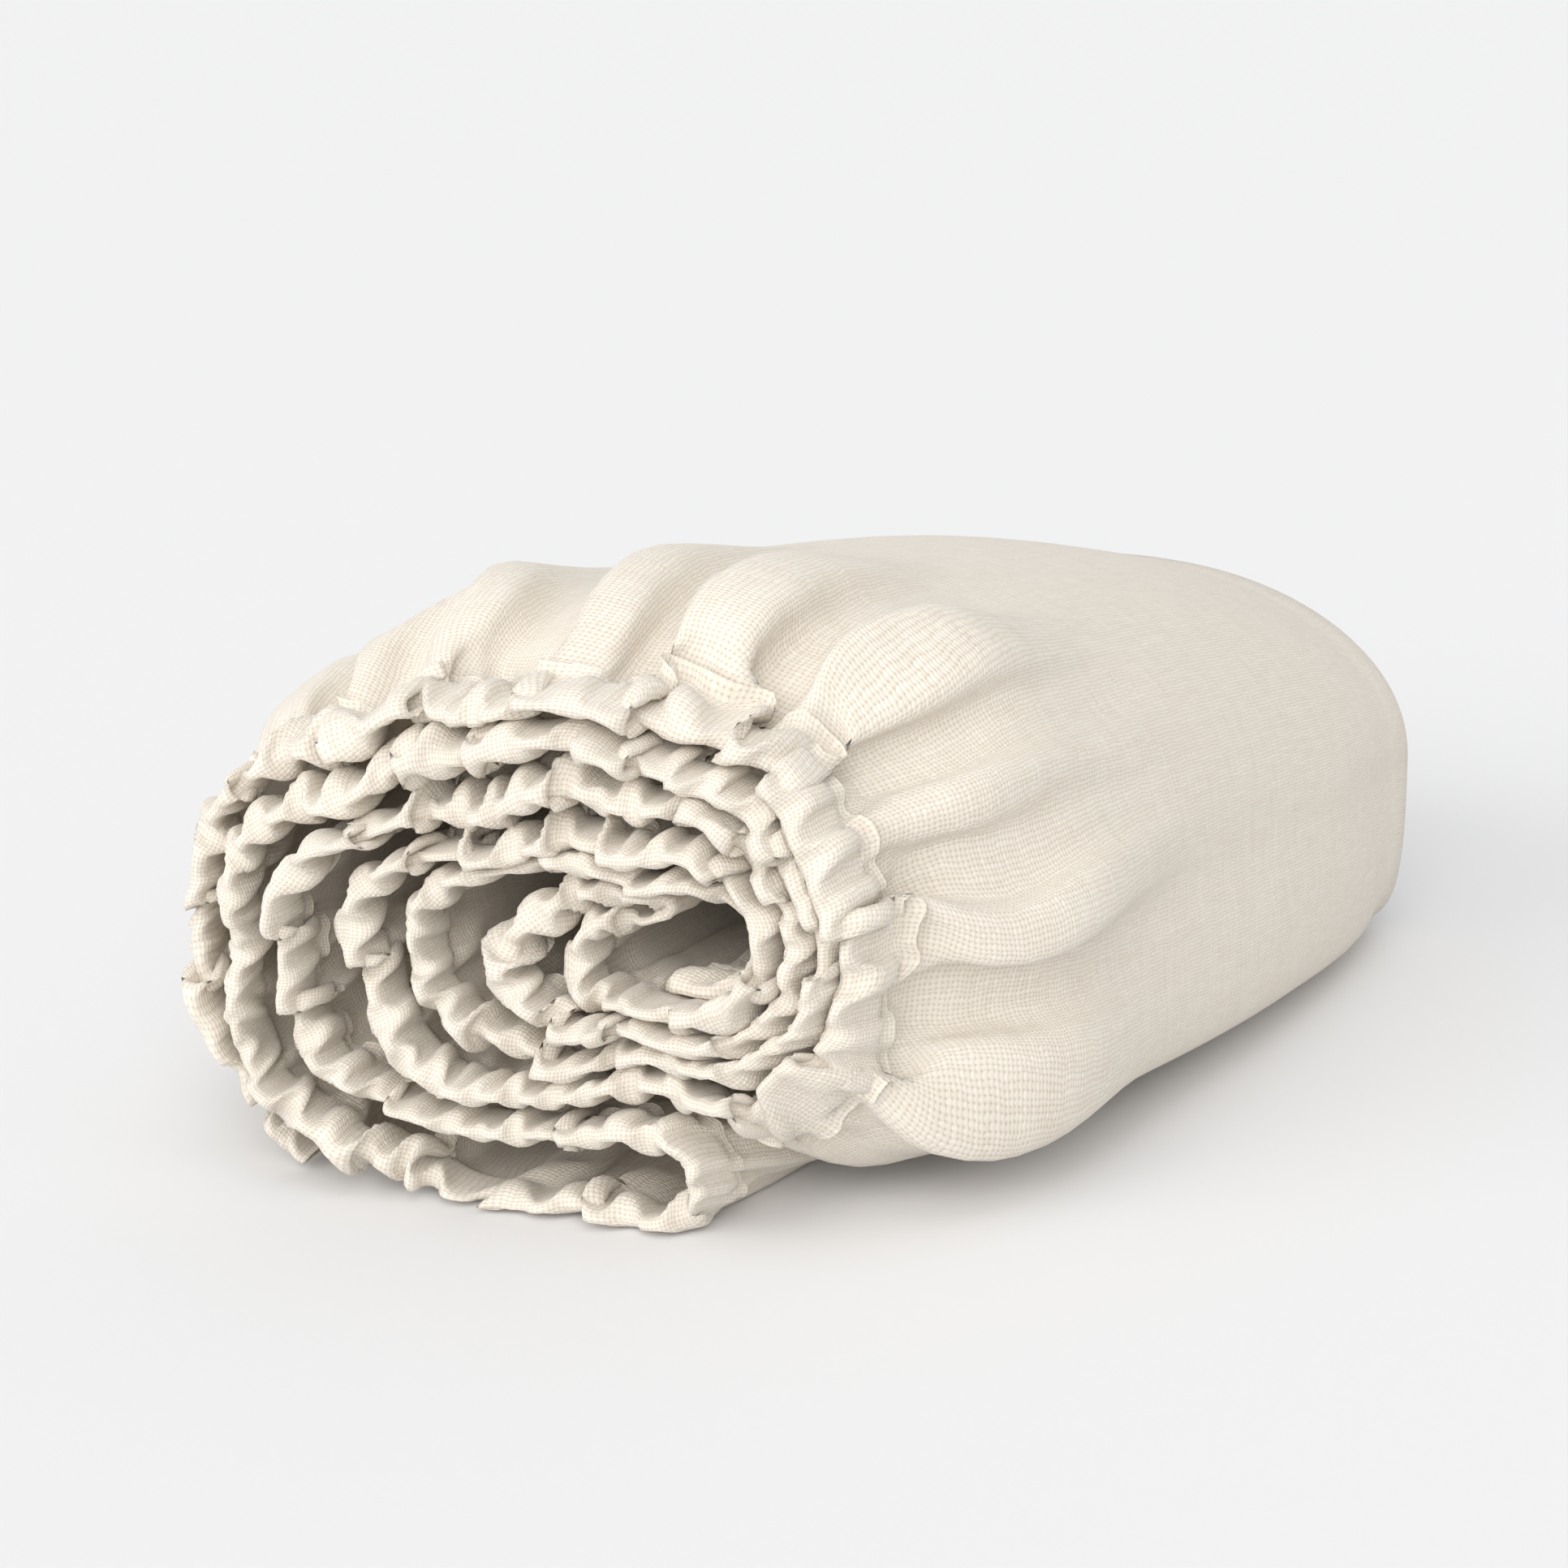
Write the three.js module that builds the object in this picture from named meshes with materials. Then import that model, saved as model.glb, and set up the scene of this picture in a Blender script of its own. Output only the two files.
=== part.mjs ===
// A small linen fitted sheet, rolled up and lying on its side.
// Millimetres, +Z up. The roll's axis runs along +Y and its gathered hem faces -Y.
// The sheet is one folded strip of cloth. It is wound in towards the core, turns back
// there, comes out again, turns back under the roll and is wound in once more, so three
// strands lie side by side in every turn.

import * as THREE from 'three';
import { ParametricGeometry } from 'three/addons/geometries/ParametricGeometry.js';
import { mergeVertices } from 'three/addons/utils/BufferGeometryUtils.js';

const TURN = 2 * Math.PI;

// Cloth
const CLOTH_THICK = 2.4;
const ROLL_LENGTH = 250;

// Winding angles, counted clockwise from the left as seen from the hem
const STRANDS = 3;
const OUTER_EDGE = -0.125 * TURN;
const CORE_TURN = 1.22 * TURN;
const UNDER_TURN = -0.276 * TURN;
const INNER_EDGE = 1.78 * TURN;
const CORE_TURN_SPREAD = 0.42;
const UNDER_TURN_SPREAD = 0.085;

// Shares of the strip at which it has reached the core, turned, come out and turned again
const STRAND_ENDS = [0.387, 0.397, 0.64, 0.65];
const TURN_DENSITY = 2.5;

// Share of the cloth's thickness that is left where it is pressed in a turn
const TURN_THINNING = 0.4;

// Shape of a turn
const SQUARENESS = 2.25;
const UPPER_LEFT_SQUARENESS = 1.95;
const FILL_LOSS = 0.45;
const FLOOR_PITCH = 6.5;
const FLOOR_LAYER = 0.3;

// Sag of the body to the floor at the lower right, past the fold that is turned back there.
// From, full, ease and end are places round the turn, in turns from the left.
const SAG = { layers: 2.2, depth: 9, squareness: 2.8, from: 0.5, full: 0.62, ease: 0.655, end: 0.73 };

// Slope of the turns' undersides at the hem, where they hang lower at the left
const TILT = { pivot: 8, right: 0.15, soften: 12, full: 3, fade: 4, least: 0.1 };

// Hem line: slanted across the roll, set back at the core and at the loose outer edge
const HEM_SLANT = 0.14;
const CORE_SETBACK = 9;
const EDGE_SETBACK = 8;
const BACK_STAGGER = -5;

// Gathers of the hem, and the broader folds that run on from them
const GATHER_LOBES = 15;
const GATHER_HEIGHT = 1.5;
const GATHER_FADE = 42;
const FOLD_LOBES = 7;
const FOLD_HEIGHT = 1.6;
const FOLD_START = 26;
const FOLD_FADE = 90;

// Reach of each layer from the core, counted from the outside
const LAYERS = [
  { layer: -1, left: 95, top: 53, right: 48.5, bottom: 53 },
  { layer: 0, left: 89.5, top: 47.2, right: 43.5, bottom: 49 },
  { layer: 1, left: 80, top: 40.6, right: 39.5, bottom: 36 },
  { layer: 2, left: 67, top: 33.7, right: 35.5, bottom: 26.2 },
  { layer: 3, left: 53.5, top: 26.2, right: 31.5, bottom: 19.6 },
  { layer: 4, left: 40, top: 19.3, right: 27, bottom: 14.4 },
  { layer: 5, left: 24, top: 13.1, right: 21, bottom: 9.4 },
  { layer: 6, left: 12.5, top: 7.4, right: 13.5, bottom: 5.2 },
  { layer: 7, left: 5.5, top: 3.2, right: 6.5, bottom: 2.3 },
];

// Fullness of the roll behind the hem, as factors on the reaches, and its core line
const BODY = [
  { y: 0, left: 1, top: 1, right: 1, bottom: 1, coreX: 10, coreZ: 52, sag: 0, tilt: 0.28 },
  { y: 20, left: 1.05, top: 1.1, right: 1.12, bottom: 1.05, coreX: 10, coreZ: 52, sag: 0.3, tilt: 0.2 },
  { y: 35, left: 1.095, top: 1.26, right: 1.4, bottom: 1.08, coreX: 10, coreZ: 52, sag: 0.9, tilt: 0.1 },
  { y: 55, left: 1.126, top: 1.37, right: 1.6, bottom: 1.1, coreX: 10, coreZ: 52, sag: 1, tilt: 0 },
  { y: 100, left: 1.147, top: 1.34, right: 1.725, bottom: 1.12, coreX: 10, coreZ: 50.5, sag: 1, tilt: 0 },
  { y: 160, left: 1.105, top: 1.22, right: 1.765, bottom: 1.12, coreX: 10, coreZ: 47.5, sag: 1, tilt: 0 },
  { y: 215, left: 1.033, top: 1.05, right: 1.69, bottom: 1.08, coreX: 10, coreZ: 43, sag: 1, tilt: 0 },
  { y: 250, left: 0.94, top: 0.88, right: 1.535, bottom: 1, coreX: 10, coreZ: 39.5, sag: 0.9, tilt: 0 },
];

// Rows of the cloth from the hem's rounded nose, past its stitch line, to the back fold
const ROWS = [
  { y: 0, thick: 0 },
  { y: 1.2, thick: 2 },
  { y: 5, thick: 3 },
  { y: 13, thick: 3 },
  { y: 19, thick: 1.8 },
  { y: 30, thick: CLOTH_THICK },
  { y: 55, thick: CLOTH_THICK },
  { y: 100, thick: CLOTH_THICK },
  { y: 160, thick: CLOTH_THICK },
  { y: 210, thick: CLOTH_THICK },
  { y: 246, thick: CLOTH_THICK },
  { y: ROLL_LENGTH, thick: 0 },
];
const COLUMNS = 270;

// Value of one column of a table, read smoothly along another
function read(table, key, at, name) {
  const last = table.length - 1;
  let i = 0;
  while (i < last - 1 && at > table[i + 1][key]) i += 1;
  const row = (k) => table[THREE.MathUtils.clamp(k, 0, last)];
  const [p, a, b, n] = [row(i - 1), row(i), row(i + 1), row(i + 2)];
  const span = b[key] - a[key];
  const t = THREE.MathUtils.clamp((at - a[key]) / span, 0, 1);
  const slope = (r, s) => (s[key] === r[key] ? 0 : (s[name] - r[name]) / (s[key] - r[key]));
  const m0 = slope(p, b) * span;
  const m1 = slope(a, n) * span;
  const t2 = t * t;
  const t3 = t2 * t;
  return (2 * t3 - 3 * t2 + 1) * a[name] + (t3 - 2 * t2 + t) * m0
    + (3 * t2 - 2 * t3) * b[name] + (t3 - t2) * m1;
}

const layerAt = (strand, angle) => strand + STRANDS * angle / TURN;

// Angle and layer of the strip at q from 0, its loose outer edge, to 1, its inner edge.
// Way is 1 where the strip is wound inwards and -1 where it comes out again.
function winding(q) {
  const [inEnd, coreEnd, outEnd, underEnd] = STRAND_ENDS;
  const mix = THREE.MathUtils.lerp;
  if (q < inEnd) {
    const angle = mix(OUTER_EDGE, CORE_TURN + TURN, q / inEnd);
    return { angle, layer: layerAt(0, angle), way: 1 };
  }
  if (q < coreEnd) {
    const bend = Math.PI * (q - inEnd) / (coreEnd - inEnd);
    const angle = CORE_TURN + TURN + CORE_TURN_SPREAD * Math.sin(bend);
    const layer = layerAt(0, CORE_TURN + TURN) - 0.5 + 0.5 * Math.cos(bend);
    return { angle, layer, way: Math.cos(bend) };
  }
  if (q < outEnd) {
    const angle = mix(CORE_TURN, UNDER_TURN, (q - coreEnd) / (outEnd - coreEnd));
    return { angle, layer: layerAt(2, angle), way: -1 };
  }
  if (q < underEnd) {
    const bend = Math.PI * (q - outEnd) / (underEnd - outEnd);
    const angle = UNDER_TURN - UNDER_TURN_SPREAD * Math.sin(bend);
    const layer = layerAt(2, UNDER_TURN) - 0.5 + 0.5 * Math.cos(bend);
    return { angle, layer, way: -Math.cos(bend) };
  }
  const angle = mix(UNDER_TURN, INNER_EDGE, (q - underEnd) / (1 - underEnd));
  return { angle, layer: layerAt(1, angle), way: 1 };
}

// Share of the sag at one place round the turn
function sagAt(angle) {
  const place = THREE.MathUtils.euclideanModulo(angle / TURN, 1);
  return THREE.MathUtils.smoothstep(place, SAG.from, SAG.full)
    * (1 - THREE.MathUtils.smoothstep(place, SAG.ease, SAG.end));
}

// Drop of the undersides, growing to the left of the pivot and slight to its right
function lean(x) {
  const left = TILT.soften * Math.log1p(Math.exp(-x / TILT.soften));
  return TILT.right * x - (1 - TILT.right) * left;
}

// Smooth turn of cloth at one station, before gathers
function turn(q, y) {
  const { angle, layer: wound, way } = winding(q);
  const sag = read(BODY, 'y', y, 'sag') * sagAt(angle);
  const layer = wound - SAG.layers * sag * (1 - wound / SAG.depth);
  const fill = 1 - FILL_LOSS * THREE.MathUtils.clamp((layer - 1.5) / 6.5, 0, 1);
  const reach = (side) => {
    const full = read(BODY, 'y', y, side);
    return read(LAYERS, 'layer', layer, side) * (full > 1 ? 1 + (full - 1) * fill : full);
  };
  const upperLeft = Math.cos(angle) > 0 && Math.sin(angle) > 0;
  const squareness = THREE.MathUtils.lerp(SQUARENESS, SAG.squareness, sag);
  const power = 2 / (upperLeft ? UPPER_LEFT_SQUARENESS : squareness);
  const round = (v) => Math.sign(v) * Math.abs(v) ** power;
  const across = round(Math.cos(angle));
  const up = round(Math.sin(angle));
  const x = read(BODY, 'y', y, 'coreX') - across * reach(across > 0 ? 'left' : 'right');
  const z = read(BODY, 'y', y, 'coreZ') + up * reach(up > 0 ? 'top' : 'bottom');
  const share = THREE.MathUtils.clamp(1 - (layer - TILT.full) / TILT.fade, TILT.least, 1);
  const slope = read(BODY, 'y', y, 'tilt') * share * Math.max(0, -up);
  return { angle, layer, way, x, z: z + slope * lean(x - TILT.pivot) };
}

// Height of the gathers and folds at one place
function gather(angle, layer, y) {
  const outer = THREE.MathUtils.clamp(1 - layer / 8, 0, 1);
  const pleat = Math.sin(GATHER_LOBES * angle + 0.9 * Math.sin(2 * angle + 1) + 0.7 * Math.sin(5 * angle));
  const fold = Math.sin(FOLD_LOBES * angle + 0.8 * Math.sin(3 * angle));
  const run = Math.max(0, y - FOLD_START);
  return outer * (GATHER_HEIGHT * pleat * Math.exp(-((y / GATHER_FADE) ** 2))
    + FOLD_HEIGHT * fold * (1 - Math.exp(-run / 15)) * Math.exp(-run / FOLD_FADE));
}

// Direction square to the strip, in the plane across the roll
function square(curve, q, y) {
  const step = 2e-4;
  const [a, b] = [curve(Math.max(0, q - step), y), curve(Math.min(1, q + step), y)];
  const length = Math.hypot(b.x - a.x, b.z - a.z);
  return { x: -(b.z - a.z) / length, z: (b.x - a.x) / length };
}

// Middle of the cloth, gathered, and laid flat where the floor carries it
function middle(q, y) {
  const at = turn(q, y);
  const normal = square(turn, q, y);
  const lift = at.way * gather(at.angle, at.layer, y);
  const floor = read(ROWS, 'y', y, 'thick') / 2 + FLOOR_PITCH * Math.max(0, at.layer - FLOOR_LAYER);
  return { ...at, x: at.x + normal.x * lift, z: Math.max(floor, at.z + normal.z * lift) };
}

// Place along the roll: the hem line and the staggered back fold
function along(at, y) {
  const core = CORE_SETBACK * THREE.MathUtils.smoothstep(at.layer, 4.5, 7.5);
  const edge = EDGE_SETBACK * (1 - THREE.MathUtils.smoothstep(at.layer, -0.4, 0.7));
  const back = THREE.MathUtils.smoothstep(y, 0.6 * ROLL_LENGTH, ROLL_LENGTH);
  const stagger = BACK_STAGGER * Math.sin(1.7 * at.layer + at.angle);
  return y + (HEM_SLANT * at.x + core + edge) * (1 - y / ROLL_LENGTH) - stagger * back;
}

// Even steps along the hem, closer in the two turns, as values of q
function evenSteps(count) {
  const samples = 4000;
  const run = [0];
  const [inEnd, coreEnd, outEnd, underEnd] = STRAND_ENDS;
  for (let i = 1; i <= samples; i += 1) {
    const q = i / samples;
    const [a, b] = [turn((i - 1) / samples, 0), turn(q, 0)];
    const turning = (q > inEnd && q < coreEnd) || (q > outEnd && q < underEnd);
    run.push(run[i - 1] + Math.hypot(b.x - a.x, b.z - a.z) * (turning ? TURN_DENSITY : 1));
  }
  const steps = [];
  for (let k = 0, i = 0; k < count; k += 1) {
    const goal = run[samples] * k / (count - 1);
    while (i < samples - 1 && run[i + 1] < goal) i += 1;
    steps.push(Math.min(1, (i + (goal - run[i]) / (run[i + 1] - run[i])) / samples));
  }
  return steps;
}

// The strip's two faces as one closed skin: out along one face and back along the other
function sheet() {
  const steps = evenSteps(COLUMNS);
  const ring = 2 * COLUMNS;
  const face = (u, v, target) => {
    const i = Math.round(u * ring) % ring;
    const { y, thick } = ROWS[Math.round(v * (ROWS.length - 1))];
    const q = steps[i < COLUMNS ? i : ring - 1 - i];
    const at = middle(q, y);
    const normal = square(middle, q, y);
    const pressed = THREE.MathUtils.lerp(TURN_THINNING, 1, Math.abs(at.way));
    const half = (i < COLUMNS ? 1 : -1) * pressed * thick / 2;
    target.set(at.x + normal.x * half, along(at, y), at.z + normal.z * half);
  };
  const skin = new ParametricGeometry(face, ring, ROWS.length - 1);
  skin.deleteAttribute('normal');
  skin.deleteAttribute('uv');
  return closed(mergeVertices(skin, 1e-4));
}

// The same skin without collapsed triangles, its faces turned outwards
function closed(skin) {
  const index = [];
  const old = skin.index.array;
  for (let t = 0; t < old.length; t += 3) {
    const [a, b, c] = [old[t], old[t + 1], old[t + 2]];
    if (a !== b && b !== c && c !== a) index.push(a, b, c);
  }
  const point = (k) => new THREE.Vector3().fromBufferAttribute(skin.attributes.position, k);
  let volume = 0;
  for (let t = 0; t < index.length; t += 3) {
    volume += point(index[t]).dot(point(index[t + 1]).cross(point(index[t + 2])));
  }
  skin.setIndex(volume > 0 ? index : index.reverse());
  return skin;
}

const geometry = sheet();
geometry.computeBoundingBox();
const box = geometry.boundingBox;
geometry.translate(-(box.min.x + box.max.x) / 2, -(box.min.y + box.max.y) / 2, -box.min.z);
geometry.computeVertexNormals();

const linen = new THREE.MeshStandardMaterial({ name: 'linen', color: 0xded7cc, roughness: 0.95 });
const mesh = new THREE.Mesh(geometry, linen);
mesh.name = 'linen_sheet';

const part = new THREE.Group();
part.name = 'rolled_fitted_sheet';
part.add(mesh);

export default part;
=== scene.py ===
# %% [markdown]
# # A rolled linen fitted sheet
#
# A small fitted sheet in natural linen has been folded into a strip, rolled up and laid on a pale
# floor. Its elasticated hem is gathered all along the strip, so the near end of the roll shows a
# spiral of puckered casing. This script makes that one piece of cloth. It lays out a flat strip,
# draws its hem up on the elastic until it puckers, winds it onto the roll, and gives it a weave.
#
# The imported solid is the frame. It says where the roll lies and how large it is, and at the end
# the finished cloth takes its place.

# %% Load the frame
import math

import bmesh
import bpy
import numpy as np
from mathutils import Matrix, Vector


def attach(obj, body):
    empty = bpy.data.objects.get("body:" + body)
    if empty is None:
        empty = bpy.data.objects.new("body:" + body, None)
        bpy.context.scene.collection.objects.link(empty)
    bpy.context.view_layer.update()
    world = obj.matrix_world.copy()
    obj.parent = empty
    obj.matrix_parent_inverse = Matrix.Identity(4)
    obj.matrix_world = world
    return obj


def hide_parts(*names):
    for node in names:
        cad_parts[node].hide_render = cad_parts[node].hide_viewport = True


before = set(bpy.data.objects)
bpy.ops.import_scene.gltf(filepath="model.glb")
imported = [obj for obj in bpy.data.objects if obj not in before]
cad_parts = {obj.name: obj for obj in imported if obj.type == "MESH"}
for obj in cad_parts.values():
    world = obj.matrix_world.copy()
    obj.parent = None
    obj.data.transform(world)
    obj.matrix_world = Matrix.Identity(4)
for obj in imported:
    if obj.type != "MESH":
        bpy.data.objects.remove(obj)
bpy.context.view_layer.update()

# %% [markdown]
# ## How the roll is wound
#
# Seen from the hem, the strip starts at a loose edge low on the left, is wound in clockwise, turns
# back at the core, comes out again, turns back under the roll and is wound in once more. Three
# strands therefore lie side by side in each turn. A turn could be a plain spiral, but the real roll
# has slumped: it is wider at the left, tight at the right and flat below. So every layer has its
# own reach in four directions. Sizes are in millimetres, in the solid's frame before it was centred.

# %% Reach of the layers
TURN = 2 * math.pi
ROLL_LENGTH = 250.0
CENTRE = np.array([7.8797, -122.5367, 0.0])

# Layer counted from the outside: reach to the left, up, to the right and down
LAYERS = np.array([
    (-1, 95, 53, 48.5, 53),
    (0, 89.5, 47.2, 43.5, 49),
    (1, 80, 40.6, 39.5, 36),
    (2, 67, 33.7, 35.5, 26.2),
    (3, 53.5, 26.2, 31.5, 19.6),
    (4, 40, 19.3, 27, 14.4),
    (5, 24, 13.1, 21, 9.4),
    (6, 12.5, 7.4, 13.5, 5.2),
    (7, 5.5, 3.2, 6.5, 2.3),
], float)
LEFT, UP, RIGHT, DOWN = 1, 2, 3, 4
outer = LAYERS[1]
print(f"outer turn at the hem: {outer[LEFT] + outer[RIGHT]:.0f} by {outer[UP] + outer[DOWN]:.0f} mm")

# %% [markdown]
# The elastic draws the roll in at its hem. Behind it nothing does, so the cloth swells, and at the
# back it narrows again. The swelling could be a lattice or a scale along the roll, but the real roll
# swells most to the right and upwards, so each direction has a factor of its own. The other columns
# say where the core is, how far the outer turn sags and how far the lower layers are tilted.

# %% Fullness from the hem to the back
# Distance from the hem: factors on the four reaches, the core's place, sag and tilt
BODY = np.array([
    (0, 1.0, 1.0, 1.0, 1.0, 10, 52, 0, 0.28),
    (20, 1.05, 1.1, 1.12, 1.05, 10, 52, 0.75, 0.2),
    (35, 1.095, 1.26, 1.4, 1.08, 10, 52, 1, 0.1),
    (55, 1.126, 1.37, 1.6, 1.1, 10, 52, 1, 0),
    (100, 1.147, 1.34, 1.725, 1.12, 10, 50.5, 1, 0),
    (160, 1.105, 1.22, 1.765, 1.12, 10, 47.5, 1, 0),
    (215, 1.033, 1.05, 1.69, 1.08, 10, 43, 1, 0),
    (250, 0.94, 0.88, 1.535, 1.0, 10, 39.5, 0.9, 0),
], float)
CORE_X, CORE_Z, SAG, TILT = 5, 6, 7, 8
print(f"fullest to the right: {BODY[:, RIGHT].max():.2f} times the hem")

# %% [markdown]
# Straight lines between the rows of a table would leave edges across the cloth. Cubic pieces that
# pass through every row leave none, so both tables are read with them.

# %% Smooth readings
def read(table, at, column):
    """One column of a table, read smoothly along its first column."""
    key, value = table[:, 0], table[:, column]
    at = np.asarray(at, float)
    last = len(key) - 1
    a = np.clip(np.searchsorted(key, at) - 1, 0, last - 1)
    b, before, after = a + 1, np.clip(a - 1, 0, last), np.clip(a + 2, 0, last)
    span = key[b] - key[a]
    t = np.clip((at - key[a]) / span, 0, 1)
    slope_a = (value[b] - value[before]) / (key[b] - key[before]) * span
    slope_b = (value[after] - value[a]) / (key[after] - key[a]) * span
    return ((2 * t**3 - 3 * t**2 + 1) * value[a] + (t**3 - 2 * t**2 + t) * slope_a
            + (3 * t**2 - 2 * t**3) * value[b] + (t**3 - t**2) * slope_b)


def ease(x, start, end):
    """0 before start, 1 after end, and smooth between."""
    t = np.clip((x - start) / (end - start), 0, 1)
    return t * t * (3 - 2 * t)


print(f"45 mm behind the hem the right side is {float(read(BODY, 45, RIGHT)):.2f} times as full")

# %% [markdown]
# The strip is followed by one number, q, from 0 at its loose outer edge to 1 at its inner edge. For
# each q the winding gives an angle and a layer. The strip could be drawn as a curve by hand, but
# this way it stays one unbroken length, and the two turn-backs are small half circles in it.

# %% Where the strip runs
STRANDS = 3
OUTER_EDGE, INNER_EDGE = -0.125 * TURN, 1.7 * TURN
CORE_TURN, UNDER_TURN = 1.22 * TURN, -0.276 * TURN
CORE_BULGE, UNDER_BULGE = 0.42, 0.085
Q_IN, Q_CORE, Q_OUT, Q_UNDER = 0.387, 0.397, 0.64, 0.65


def winding(q):
    """Angle, clockwise from the left, and layer of the strip at q."""
    q = np.asarray(q, float)
    core_bend = np.pi * np.clip((q - Q_IN) / (Q_CORE - Q_IN), 0, 1)
    under_bend = np.pi * np.clip((q - Q_OUT) / (Q_UNDER - Q_OUT), 0, 1)
    parts = [q < Q_IN, q < Q_CORE, q < Q_OUT, q < Q_UNDER]
    angle = np.select(
        parts,
        [OUTER_EDGE + (CORE_TURN + TURN - OUTER_EDGE) * q / Q_IN,
         CORE_TURN + TURN + CORE_BULGE * np.sin(core_bend),
         CORE_TURN + (UNDER_TURN - CORE_TURN) * (q - Q_CORE) / (Q_OUT - Q_CORE),
         UNDER_TURN - UNDER_BULGE * np.sin(under_bend)],
        UNDER_TURN + (INNER_EDGE - UNDER_TURN) * (q - Q_UNDER) / (1 - Q_UNDER))
    strand = STRANDS * angle / TURN
    layer = np.select(
        parts,
        [strand,
         STRANDS * (CORE_TURN / TURN + 1) - 0.5 + 0.5 * np.cos(core_bend),
         2 + strand,
         2 + STRANDS * UNDER_TURN / TURN - 0.5 + 0.5 * np.cos(under_bend)],
        1 + strand)
    return angle, layer


print(f"innermost layer: {winding(np.linspace(0, 1, 500))[1].max():.1f}")

# %% [markdown]
# An angle and a layer become a place by four quarter curves, each a little squarer than an ellipse.
# Behind the hem the outer turn sags past the lower turn-back onto the floor. That could be a
# simulation, but moving the layers outwards there gives the same look and stays with the solid.

# %% Section of the roll
SAG_LAYERS = 2.2
SAG_STARTS, SAG_FULL, SAG_FADES, SAG_ENDS = 0.5, 0.62, 0.655, 0.73
ROUND, SQUARER = 1.95, 2.25


def turn(angle, layer, y):
    """Smooth place (x, z) at an angle, layer and distance from the hem, and the sagged layer."""
    place = np.mod(angle / TURN, 1)
    sag = read(BODY, y, SAG) * ease(place, SAG_STARTS, SAG_FULL) * (1 - ease(place, SAG_FADES, SAG_ENDS))
    layer = layer - SAG_LAYERS * sag * (1 - layer / 9)
    fill = 1 - 0.45 * np.clip((layer - 1.5) / 6.5, 0, 1)

    def reach(side):
        full = read(BODY, y, side)
        return read(LAYERS, layer, side) * np.where(full > 1, 1 + (full - 1) * fill, full)

    upper_left = (np.cos(angle) > 0) & (np.sin(angle) > 0)
    power = 2 / np.where(upper_left, ROUND, SQUARER + 0.55 * sag)
    across = np.sign(np.cos(angle)) * np.abs(np.cos(angle)) ** power
    up = np.sign(np.sin(angle)) * np.abs(np.sin(angle)) ** power
    x = read(BODY, y, CORE_X) - across * np.where(across > 0, reach(LEFT), reach(RIGHT))
    z = read(BODY, y, CORE_Z) + up * np.where(up > 0, reach(UP), reach(DOWN))
    tilt = read(BODY, y, TILT) * np.clip(1 - (layer - 3) / 4, 0.1, 1) * np.maximum(0, -up)
    lean = 0.15 * (x - 8) - 0.85 * 12 * np.logaddexp(0, (8 - x) / 12)
    return x, z + tilt * lean, layer


q_fine = np.linspace(0, 1, 6001)
hem_x, hem_z, _ = turn(*winding(q_fine), np.zeros_like(q_fine))
hem_run = np.r_[0, np.cumsum(np.hypot(np.diff(hem_x), np.diff(hem_z)))]
HEM_LENGTH = hem_run[-1]
print(f"drawn-up hem: {HEM_LENGTH:.0f} mm in {len(LAYERS) - 1} layers")

# %% [markdown]
# ## The flat strip
#
# On the real sheet the cloth is turned over at its edge to make a casing for the elastic. From the
# casing's raw edge the strip runs forward to the rounded nose, back under the elastic to the stitch
# line, and on to the back fold, where it turns inwards. The cloth is a grid: rows are close at the
# nose and stitch line, where it puckers, and wide in the smooth body.

# %% Rows and columns of the strip
CASING, RAW_EDGE = 14, 16
COLUMNS = 1700
face = [CASING, 12.8, 11.4, 9.8, 8, 6.1, 4.4, 3, 1.8, 0.8]
body = [15.2, 16.6, 18.2, 20, 22.2, 24.8, 28, 32, 36.8, 42.6, 49, 56, 63, 71, 80, 90, 101, 113, 126, 140,
        155, 171, 188, 204, 219, 231, 240, 246, ROLL_LENGTH]
flap = [252.5, 258, 268]
rows = np.array([-RAW_EDGE] + [-r for r in face] + [0] + face[::-1] + body + flap)
NOSE = 1 + len(face)
STITCH_OUT, STITCH_IN = 1, NOSE + len(face)
FLAP = len(rows) - len(flap)
hem_distance = np.where(rows > ROLL_LENGTH, 2 * ROLL_LENGTH - rows, np.abs(rows))

home_along = np.linspace(0, HEM_LENGTH, COLUMNS)
column_gap = home_along[1]
along = np.repeat(home_along[:, None], len(rows), 1)
back = np.repeat(hem_distance[None, :], COLUMNS, 0)
q_column = np.interp(home_along, hem_run, q_fine)
print(f"strip: {COLUMNS} columns by {len(rows)} rows")

# %% [markdown]
# ## Room between the turns
#
# In a tight roll each layer can buckle only as far as its neighbours let it. The layers could be
# tested against each other while they move, but that is slow for so many points. So each layer is
# given half the gap to the layer on either side, measured once. The outermost turn is free outside.

# %% Gaps to the neighbouring layers
FREE_ROOM, LEAST_ROOM, CLEARANCE = 8.0, 1.2, 0.2
angle_column, layer_column = winding(q_column)
angle_grid = np.repeat(angle_column[:, None], len(rows), 1)
layer_grid = np.repeat(layer_column[:, None], len(rows), 1)
here = turn(angle_grid, layer_grid, back)


def gap_to(step):
    other = turn(angle_grid, layer_grid + step, back)
    return np.hypot(other[0] - here[0], other[1] - here[1])


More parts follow.
